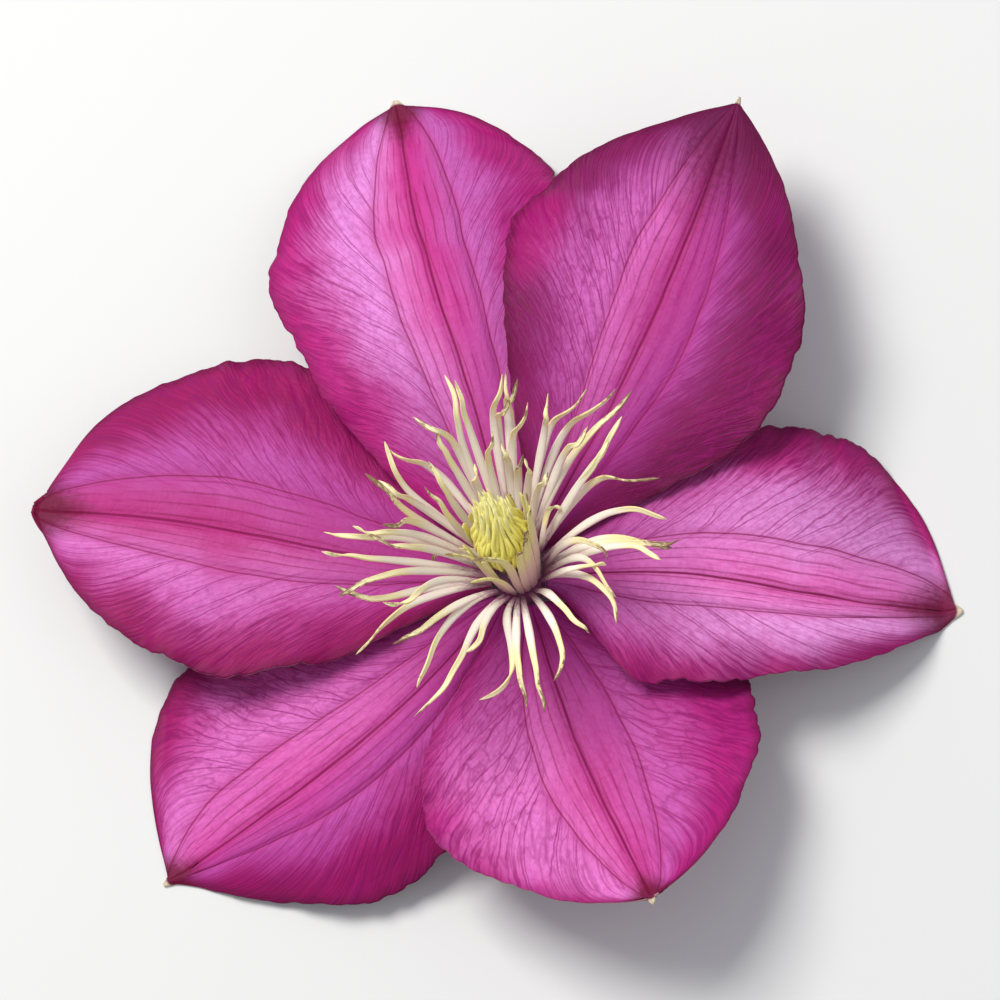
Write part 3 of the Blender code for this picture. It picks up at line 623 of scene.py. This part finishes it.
# Stamens. Each row is the rise of the tip over the base of the boss, then where the stamen passes
# two places along it and where it ends, seen from above
stamens = dict(
    seed=8, start=(3.5, 30.0, 4.0), stations=40, sides=12, anther=0.58, thickness=0.42,
    twist=75.0, waviness=0.16,
    widths=[(0.0, 0.58), (0.15, 0.78), (0.40, 1.10), (0.58, 0.86), (0.66, 0.78), (0.90, 0.66),
            (1.0, 0.52)],
    rows=[
        (15.5, (-4.9, 11.8), (-5.5, 16.0), (-6.8, 20.7)),
        (15.9, (-3.5, 12.2), (-4.6, 16.2), (-5.4, 19.8)),
        (15.5, (-5.4, 11.7), (-7.3, 13.7), (-10.9, 15.4)),
        (14.1, (-5.3, 8.9), (-7.1, 11.5), (-8.2, 14.3)),
        (12.9, (-10.2, 6.5), (-13.4, 9.5), (-14.7, 13.4)),
        (12.0, (-8.1, 10.2), (-11.6, 11.4), (-14.1, 12.7)),
        (13.7, (-6.1, 5.6), (-7.5, 7.5), (-9.2, 10.1)),
        (13.6, (-10.5, 4.3), (-13.8, 6.2), (-16.9, 9.1)),
        (14.1, (-9.8, 5.7), (-12.3, 6.0), (-15.3, 7.9)),
        (13.9, (-6.3, 3.5), (-7.7, 4.8), (-9.5, 6.7)),
        (14.2, (-9.8, 3.6), (-12.4, 2.7), (-14.7, 1.8)),
        (14.2, (-11.0, 1.9), (-16.5, 0.9), (-21.9, 1.4)),
        (15.1, (-10.3, 2.2), (-14.5, 1.1), (-18.3, 1.5)),
        (14.9, (-9.1, 0.5), (-12.6, -0.7), (-16.6, 0.7)),
        (14.5, (-12.2, -0.8), (-17.9, -1.7), (-22.1, -1.2)),
        (13.7, (-10.4, -1.9), (-15.9, -4.3), (-20.2, -6.9)),
        (12.8, (-11.1, -4.2), (-16.3, -6.7), (-20.7, -5.0)),
        (15.6, (-8.4, -3.7), (-11.0, -7.7), (-14.3, -8.6)),
        (11.8, (-9.9, -4.9), (-14.5, -9.3), (-18.2, -13.9)),
        (12.8, (-6.7, -6.5), (-10.4, -11.0), (-13.5, -13.2)),
        (11.3, (-6.2, -6.8), (-9.1, -13.2), (-10.6, -18.4)),
        (14.2, (-2.4, -8.0), (-2.8, -12.8), (-4.3, -15.2)),
        (9.8, (-4.5, -8.9), (-6.4, -15.2), (-11.2, -21.6)),
        (9.5, (-0.5, -8.7), (0.5, -15.3), (-3.3, -19.7)),
        (10.9, (0.7, -10.3), (1.6, -16.4), (2.8, -21.4)),
        (11.0, (2.4, -10.4), (3.8, -17.0), (5.0, -21.9)),
        (10.8, (4.9, -8.3), (6.8, -14.4), (6.1, -18.2)),
        (12.2, (4.9, -5.4), (7.8, -9.5), (10.6, -12.5)),
        (11.2, (7.7, -2.7), (12.0, -6.2), (13.8, -11.2)),
        (13.0, (8.2, -1.0), (11.4, -4.3), (13.9, -8.4)),
        (12.1, (6.5, -2.5), (10.1, -3.5), (12.6, -3.9)),
        (13.4, (7.0, 0.8), (10.9, -1.0), (13.0, -3.8)),
        (13.5, (11.3, 1.1), (17.4, -1.3), (21.7, -1.5)),
        (14.2, (10.7, -0.4), (16.3, -2.0), (19.6, -4.3)),
        (13.0, (9.8, 0.5), (16.4, -1.1), (20.8, -2.3)),
        (12.5, (10.0, 3.7), (15.8, 3.4), (20.2, 1.6)),
        (13.4, (8.9, 7.3), (13.8, 7.4), (19.5, 6.3)),
        (13.1, (6.6, 10.2), (11.6, 14.2), (16.0, 18.4)),
        (15.2, (8.4, 7.4), (12.4, 10.2), (15.1, 14.1)),
        (14.6, (7.5, 6.0), (10.8, 8.1), (13.4, 11.1)),
        (12.2, (5.7, 13.5), (10.0, 16.3), (13.9, 19.3)),
        (14.4, (6.1, 10.4), (8.6, 11.5), (10.9, 13.3)),
        (15.2, (3.4, 6.4), (4.9, 6.3), (5.9, 7.4)),
        (12.1, (4.2, 13.9), (7.1, 16.5), (10.5, 19.3)),
        (13.8, (4.1, 13.3), (5.3, 15.3), (5.8, 18.3)),
        (15.2, (2.5, 7.8), (3.4, 8.1), (3.2, 9.3)),
        (16.0, (0.6, 12.3), (2.1, 13.7), (3.6, 16.4)),
        (14.3, (0.1, 16.0), (0.5, 18.3), (0.7, 21.9)),
        (12.1, (0.3, 15.2), (0.6, 18.2), (1.6, 21.1)),
        (13.8, (-1.6, 14.9), (-1.0, 17.9), (0.2, 21.2)),
        (12.7, (-1.2, 15.1), (-0.5, 16.7), (0.6, 18.8)),
        (14.5, (-2.0, 9.7), (-1.7, 11.2), (-1.1, 13.3)),
        (12.8, (1.1, 9.4), (1.8, 9.5), (2.3, 10.8)),
        (12.6, (-3.7, 8.3), (-3.7, 8.5), (-3.3, 9.9)),
        (14.1, (0.2, 10.1), (0.5, 10.4), (0.2, 11.9)),
        (7.3, (3.8, 3.3), (4.8, 5.3), (6.5, 5.2)),
        (5.4, (-4.7, 1.8), (-8.0, 1.5), (-9.9, -0.4)),
    ])
# The young ones wall the styles in, tallest at the lower right, and some hook outwards
youngStamens = dict(
    seed=5, start=(2.85, 8.0, 2.4), stations=34, sides=12, anther=0.62, thickness=0.42,
    twist=14.0, waviness=0.05,
    widths=[(0.0, 0.80), (0.3, 1.12), (0.60, 1.10), (0.70, 0.95), (0.90, 0.80), (1.0, 0.45)],
    rows=[
        (12.6, (2.0, -3.4), (2.6, -3.7), (3.1, -4.1)),
        (13.6, (2.8, -2.7), (3.5, -2.9), (4.1, -3.1)),
        (14.4, (3.2, -2.2), (3.8, -2.4), (4.4, -2.7)),
        (15.0, (3.7, -1.1), (4.4, -0.9), (4.7, -0.6)),
        (15.1, (3.9, -0.2), (4.5, -0.3), (5.0, -0.3)),
        (14.4, (3.8, 0.8), (4.4, 0.7), (4.8, 0.6)),
        (13.8, (3.5, 1.6), (3.9, 2.2), (4.2, 2.8)),
        (12.8, (2.9, 2.6), (3.1, 3.3), (3.1, 3.6)),
        (11.6, (-1.4, -3.6), (-1.7, -4.2), (-1.9, -4.3)),
        (11.8, (-3.0, -2.5), (-3.5, -2.9), (-3.7, -3.0)),
        (11.2, (-3.7, -1.2), (-4.1, -1.7), (-4.4, -2.1)),
        (11.0, (1.2, 3.7), (1.2, 4.3), (1.2, 4.9)),
        (10.4, (-0.6, 3.9), (-1.1, 4.4), (-1.5, 4.8)),
        (10.4, (-2.9, 2.6), (-3.6, 2.7), (-4.0, 2.7)),
        (10.8, (-3.8, 0.9), (-4.4, 1.1), (-4.6, 1.2)),
        (13.4, (0.9, -3.8), (0.5, -4.7), (-3.0, -5.2)),
        (9.2, (-0.4, -3.9), (-1.2, -4.7), (-4.2, -5.4)),
        (12.4, (-2.3, -3.1), (-3.3, -3.6), (-6.4, -3.6)),
    ])
stamenCurve = dict(places=(0.42, 0.75), rises=(0.55, 0.90, 1.0), rootHeight=0.35)


def bezierShares(u):
    # the share of each of five control points at u along a fourth-degree curve
    power = np.arange(5)
    return np.array([1.0, 4.0, 6.0, 4.0, 1.0]) * u[:, None] ** power * (1.0 - u[:, None]) ** (4 - power)


def stamenPaths(f):
    # curves from the ring of bases through each row's places to its tip
    radius, lean, pull = f["start"]
    rows = np.array([[rise, *first, *second, *tip] for rise, first, second, tip in f["rows"]])
    heights = rows[:, :1] * np.array(stamenCurve["rises"])
    knots = np.concatenate([rows[:, 1:].reshape(-1, 3, 2), heights[..., None]], axis=-1)
    outward = knots[:, 0] * np.array([1.0, 1.0, 0.0])
    outward /= np.linalg.norm(outward, axis=1, keepdims=True)
    up = np.array([0.0, 0.0, 1.0])
    root = radius * outward + stamenCurve["rootHeight"] * up
    begun = root + pull * (math.sin(math.radians(lean)) * outward + math.cos(math.radians(lean)) * up)
    shares = bezierShares(np.array(stamenCurve["places"]))
    ends = np.stack([root, begun, knots[:, 2]], axis=1)
    pulls = np.linalg.solve(shares[:, 2:4], knots[:, :2] - shares[:, [0, 1, 4]] @ ends)
    controls = np.concatenate([ends[:, :2], pulls, ends[:, 2:]], axis=1)
    return bezierShares(np.linspace(0.0, 1.0, f["stations"])) @ controls


def stamenOutlines(f):
    # a flat strap that swells to the filament's width, then two pollen sacs side by side, which
    # twist and waver towards the tip
    extra = drawRows(f["seed"], len(f["rows"]), [(-1.0, 1.0), (0.0, 6.28), (-1.0, 1.0)])
    twist, phase, tint = extra.T[:, :, None, None]
    u = np.linspace(0.0, 1.0, f["stations"])[None, :, None]
    turn = (np.arange(f["sides"]) * 2.0 * math.pi / f["sides"])[None, None]
    sacs = smoothStep((u - f["anther"]) / 0.08)
    width = np.interp(u, *zip(*f["widths"]))
    thick = f["thickness"] * (1.0 - 0.25 * u) * smoothStep((1.02 - u) / 0.06)
    strap = 0.5 * thick * np.sin(turn)
    beaded = 0.5 * thick * np.sin(turn) * (0.5 + 1.3 * np.cos(turn) ** 2)
    flat = 0.5 * width * np.cos(turn) * (1.0 - 0.85 * smoothStep((u - 0.96) / 0.04))
    above = strap + (beaded - strap) * sacs
    late = smoothStep((u - 0.5) / 0.5)
    angle = np.radians(f["twist"]) * twist * late
    sway = f["waviness"] * late * np.sin(2.0 * math.pi * 3.1 * u + phase)
    lift = f["waviness"] * late * np.sin(2.0 * math.pi * 2.3 * u + 2.0 * phase)
    across = flat * np.cos(angle) - above * np.sin(angle) + sway
    above = flat * np.sin(angle) + above * np.cos(angle) + lift
    return across, above, u, turn, tint


# Finish of the stamens, linear colours
stamenColors = dict(root=(0.34, 0.13, 0.22), shadeAndEdgeLines=(0.78, 0.58, 0.54), cream=(0.99, 0.93, 0.80),
                    seam=(0.96, 0.88, 0.52), pollen=(0.94, 0.80, 0.38), spent=(0.24, 0.13, 0.06),
                    youngSkin=(0.66, 0.43, 0.36), young=(0.74, 0.68, 0.24))


def stamenMaterial(look):
    mat, pen = startMaterial("stamen_skin")
    along, side, tint = pen.attribute("strand").parts()
    young, face, rank = pen.attribute("strandFace").parts()
    grain = pen.noise(pen.vector(along * 26.0, side * 2.0 + tint * 30.0), 1.0, 2.0)
    # painted shade: the under face of each stamen is painted darker, and its edges carry darker lines of
    # their own
    creamy = pen.blend((grain - face * 0.6).rise(0.3, 1.2), look["cream"], look["shadeAndEdgeLines"])
    edge = abs(side).rise(0.30, 0.80)
    creamy = pen.blend(edge * 0.45, creamy, look["shadeAndEdgeLines"])
    color = pen.blend((along + (grain - 0.5) * 0.2).rise(0.05, 0.30), look["root"], creamy)
    yellow = (along + tint * 0.10 + (grain - 0.5) * 0.1).rise(0.48, 0.66)
    color = pen.blend(yellow, color, pen.blend(edge, look["seam"], look["pollen"]))
    youngColor = pen.blend((along + (grain - 0.5) * 0.3).rise(0.32, 0.70), look["youngSkin"],
                           look["young"])
    color = pen.blend(young * 0.85, color, youngColor)
    spent = (along + (grain - 0.5) * 0.5 + tint * 0.20 + edge * 0.10).rise(0.92, 1.16)
    color = pen.blend(spent, color, look["spent"])
    height = grain * 0.5 + edge * 0.3
    fixed = {"Specular IOR Level": 0.35, "Sheen Weight": 0.15, "Sheen Roughness": 0.5}
    return finishMaterial(mat, pen, color, 0.5 + grain * 0.15, height, fixed, 0.0001, 0.5)


def makeStamens():
    allPoints, allFaces, strands, strandFaces, first = [], [], [], [], 0
    for f, placed, youth in ((stamens, standing, 0.0), (youngStamens, bentOver, 1.0)):
        across, above, u, turn, tint = stamenOutlines(f)
        points, faces = sweptTubes(stamenPaths(f), across, above)
        strands.append(strandPoints(*across.shape, [u, np.cos(turn), tint]))
        strandFaces.append(strandPoints(*across.shape, [youth, np.sin(turn), tint]))
        allPoints.append(placed(points))
        allFaces += [group + first for group in faces]
        first += len(points)
    attributes = {"strand": np.concatenate(strands), "strandFace": np.concatenate(strandFaces)}
    return makePiece("stamen_boss", np.concatenate(allPoints), allFaces,
                     stamenMaterial(stamenColors), attributes, "stamens")


makeStamens()
print("stamens made")

# Styles: up the ovary head, swirled, and drawn in over its top
styles = dict(
    count=124, seed=11, goldenAngle=137.508, stations=18, sides=7, radius=0.29, base=(8.5, 2.1),
    top=(15.0, 13.9), stand=1.1, end=(0.1, 2.5), closing=(0.40, 0.95), climb=0.85, clear=0.2, swirl=26.0,
    lean=1.0,
    headSides=40,
    head=[(0.0, 0.0), (1.2, 0.0), (1.3, 0.5), (1.4, 4.0), (1.7, 6.5), (2.3, 8.6), (2.3, 10.5),
          (1.7, 12.2), (0.6, 13.0), (0.0, 13.1)],
    low=(0.60, 0.56, 0.07), high=(0.92, 0.82, 0.20), tip=(0.96, 0.90, 0.42))


def stylePaths(f):
    ranges = [(-7.0, 7.0), (-0.9, 0.9), (-0.45, 0.35), (-22.0, 22.0), (0.0, 6.28), (-9.0, 9.0)]
    turn, taller, wider, swing, phase, waver = drawRows(f["seed"], f["count"], ranges).T[..., None]
    radii, heights = np.array(f["head"][1:-2]).T
    rank = ((np.arange(f["count"]) + 0.5) / f["count"])[:, None]
    around = np.radians(np.arange(f["count"])[:, None] * f["goldenAngle"] + turn)
    u = np.linspace(0.0, 1.0, f["stations"])[None]
    base = between(f["base"], rank)
    top = between(f["top"], rank) + taller
    height = base + (top - base) * u ** f["climb"]
    standOff = np.interp(height, heights, radii) + (f["stand"] + wider) * smoothStep(u / 0.5)
    closing = smoothStep((u - f["closing"][0]) / (f["closing"][1] - f["closing"][0]))
    radius = standOff + (between(f["end"], rank) - standOff) * closing
    bare, bareHeights = np.array(f["head"][1:]).T
    radius = np.maximum(radius, np.interp(height, bareHeights, bare) + f["clear"] * smoothStep(u / 0.3))
    swirl = around + np.radians(f["swirl"] + swing) * u ** 2
    swirl = swirl + np.radians(waver) * np.sin(2.0 * math.pi * 1.6 * u + phase)
    leaning = f["lean"] * u ** 3
    x = radius * np.cos(swirl) + leaning * math.cos(bossLean)
    y = radius * np.sin(swirl) + leaning * math.sin(bossLean)
    return np.stack([x, y, height], -1), turn


def turnedSolid(outline, sides, first):
    # points and faces of a form turned round z, whose outline starts and ends on the axis
    angles = np.arange(sides) * 2.0 * math.pi / sides
    radius, height = np.array(outline).T
    low, high = (0.0, 0.0, height[0]), (0.0, 0.0, height[-1])
    radius, height = radius[1:-1, None], height[1:-1, None]
    rings = np.stack(np.broadcast_arrays(radius * np.cos(angles), radius * np.sin(angles), height), -1)
    index = np.arange(rings.size // 3).reshape(rings.shape[:2]) + first
    after = np.roll(index, -1, axis=1)
    quads = np.stack([index[:-1], after[:-1], after[1:], index[1:]], -1).reshape(-1, 4)
    pole = np.full(sides, first + rings.size // 3)
    lowFan = np.stack([after[0], index[0], pole], -1)
    highFan = np.stack([index[-1], after[-1], pole + 1], -1)
    return np.concatenate([rings.reshape(-1, 3), [low, high]]), [quads, lowFan, highFan]


def styleMaterial(look):
    mat, pen = startMaterial("style_skin")
    along, side, tint = pen.attribute("strand").parts()
    grain = pen.noise(pen.vector(along * 20.0, side * 3.0 + tint * 30.0), 1.0, 2.0)
    color = pen.blend((along + tint * 0.2).rise(0.05, 0.60), look["low"], look["high"])
    color = pen.blend((along + (grain - 0.5) * 0.3 + abs(side) * 0.1).rise(0.78, 1.05), color,
                      look["tip"])
    fixed = {"Specular IOR Level": 0.35, "Sheen Weight": 0.25, "Sheen Roughness": 0.4}
    return finishMaterial(mat, pen, color, 0.45 + grain * 0.15, grain, fixed, 0.0001, 0.4)


def makeStyles(f):
    paths, turn = stylePaths(f)
    count, stations = paths.shape[:2]
    u = np.linspace(0.0, 1.0, stations)[None, :, None]
    corner = (np.arange(f["sides"]) * 2.0 * math.pi / f["sides"])[None, None]
    size = f["radius"] * (1.0 - 0.40 * u ** 2) * np.sqrt(smoothStep((1.02 - u) / 0.12))
    shape = (count, stations, f["sides"])
    across = np.broadcast_to(size * np.cos(corner), shape)
    above = np.broadcast_to(size * np.sin(corner), shape)
    points, faces = sweptTubes(paths, across, above)
    strand = strandPoints(*shape, [u, np.cos(corner), turn[..., None] / 12.0])
    head, headFaces = turnedSolid(f["head"], f["headSides"], len(points))
    points = np.concatenate([points, head])
    strand = np.concatenate([strand, np.zeros_like(head)])
    return makePiece("style_brush", bentOver(points), faces + headFaces, styleMaterial(f),
                     {"strand": strand}, "pistils")


makeStyles(styles)
print("styles made")


# Receptacle and nipped stalk, turned round the outline of the solid, with ridges down the stalk
stalk = dict(
    outline=[(0.0, 0.8), (0.95, 0.8), (1.15, 1.05), (1.2, 3.2), (1.45, 4.8), (2.1, 6.0),
             (2.7, 6.7), (2.9, 7.4), (2.9, 11.8), (2.6, 12.2), (0.0, 12.2)],
    rings=150, sides=120, ridges=6, ridgeDepth=0.09, ridged=(4.0, 6.5), smoothing=5,
    green=(0.17, 0.23, 0.055), brown=(0.24, 0.13, 0.09), flush=(0.19, 0.045, 0.10),
    paintedShadeDome=(0.11, 0.020, 0.075), pith=(0.46, 0.48, 0.24), bast=(0.13, 0.16, 0.05))


def stalkMaterial(f):
    mat, pen = startMaterial("stalk_skin")
    height, ridge, inside = pen.attribute("stem").parts()
    at = pen.node("ShaderNodeTexCoord", {}, {}, "Object")
    blotch = pen.noise(at, 900.0, 3.0, 0.6, flat=False)
    fibre = pen.noise(pen.vector(ridge * 9.0, height * 0.35), 1.0, 3.0, 0.6)
    color = pen.blend((blotch + ridge * 0.12).rise(0.40, 0.70), f["green"], f["brown"])
    color = pen.blend((height + blotch * 2.0).rise(5.0, 8.5), color, f["flush"])
    # painted shade: the top of the receptacle is painted dark magenta, where the stamen roots meet in
    # shade
    color = pen.blend(height.rise(11.4, 12.1), color, f["paintedShadeDome"])
    end = pen.blend((abs(inside - 0.62) + blotch * 0.1).rise(0.10, 0.22), f["bast"], f["pith"])
    color = pen.blend(height.rise(0.84, 0.80), color, end)
    return finishMaterial(mat, pen, color, 0.5 + blotch * 0.15, blotch * 0.4 + fibre * 0.6,
                          {"Specular IOR Level": 0.35}, 0.0001, 0.5)


def makeStalk(f):
    radius, height = np.array(f["outline"]).T
    run = np.concatenate([[0.0], np.cumsum(np.hypot(np.diff(radius), np.diff(height)))])
    even = np.linspace(0.0, run[-1], f["rings"])
    half = f["smoothing"] // 2
    kernel = np.ones(f["smoothing"]) / f["smoothing"]
    outline = np.stack([np.interp(even, run, radius), np.interp(even, run, height)], -1)
    outline[half:-half] = np.stack([np.convolve(c, kernel, "valid") for c in outline.T], -1)
    points, faces = turnedSolid(outline, f["sides"], 0)
    turn = np.arctan2(points[:, 1], points[:, 0])
    ridge = np.cos(f["ridges"] * turn + 0.2 * np.sin(points[:, 2]))
    stem = 1.0 - smoothStep((points[:, 2] - f["ridged"][0]) / (f["ridged"][1] - f["ridged"][0]))
    inside = np.hypot(points[:, 0], points[:, 1])
    points[:, :2] *= (1.0 - 0.5 * f["ridgeDepth"] * stem * (1.0 - ridge))[:, None]
    attributes = {"stem": np.stack([points[:, 2], ridge, inside], -1)}
    makePiece("flower_stalk", points, faces, stalkMaterial(f), attributes, "receptacle")
    # down on the stalk, from its cut end to where it swells
    draw = np.random.default_rng(down["seed"])
    hairy = np.flatnonzero((points[:, 2] > 1.3) & (points[:, 2] < 7.0) & (inside > 1.0))
    roots = points[draw.choice(hairy, down["stalkCount"])]
    outward = roots * np.array([1.0, 1.0, 0.0])
    outward /= np.linalg.norm(outward, axis=1, keepdims=True)
    makeDown("stalk_down", roots - 0.04 * outward, outward + np.array([0.0, 0.0, 0.4]),
             downMaterial("stalk_down_skin", (0.70, 0.68, 0.52)))


makeStalk(stalk)
print("stalk made")

# Floor and light
studio = dict(floor=(0.76, 0.76, 0.75), world=(0.88, 0.92, 1.0), worldStrength=0.43,
              lamps=[((-0.38, 0.33, 0.78), 0.45, 8.2, (1.0, 0.98, 0.95)),
                     ((0.60, -0.30, 0.70), 0.70, 1.0, (1.0, 1.0, 1.0))])


def makeStudio(f):
    mesh = bpy.data.meshes.new("floor")
    half = 1.5
    mesh.from_pydata([(-half, -half, 0), (half, -half, 0), (half, half, 0), (-half, half, 0)],
                     [], [(0, 1, 2, 3)])
    mat, pen = startMaterial("floor_paint")
    finishMaterial(mat, pen, (*f["floor"], 1.0), 0.7, None, {"Specular IOR Level": 0.2})
    mesh.materials.append(mat)
    floor = bpy.data.objects.new("floor", mesh)
    bpy.context.scene.collection.objects.link(floor)
    for number, (place, size, power, color) in enumerate(f["lamps"]):
        data = bpy.data.lights.new("lamp_%d" % number, "AREA")
        data.size = size
        data.energy = power
        data.color = color
        lamp = bpy.data.objects.new("lamp_%d" % number, data)
        lamp.location = place
        lamp.rotation_euler = (-Vector(place)).to_track_quat("-Z", "Y").to_euler()
        bpy.context.scene.collection.objects.link(lamp)
    world = bpy.data.worlds.new("studio")
    world.use_nodes = True
    world.node_tree.nodes["Background"].inputs[0].default_value = (*f["world"], 1.0)
    world.node_tree.nodes["Background"].inputs[1].default_value = f["worldStrength"]
    bpy.context.scene.world = world
    bpy.context.scene.view_settings.view_transform = "Standard"


makeStudio(studio)
print("studio lit")
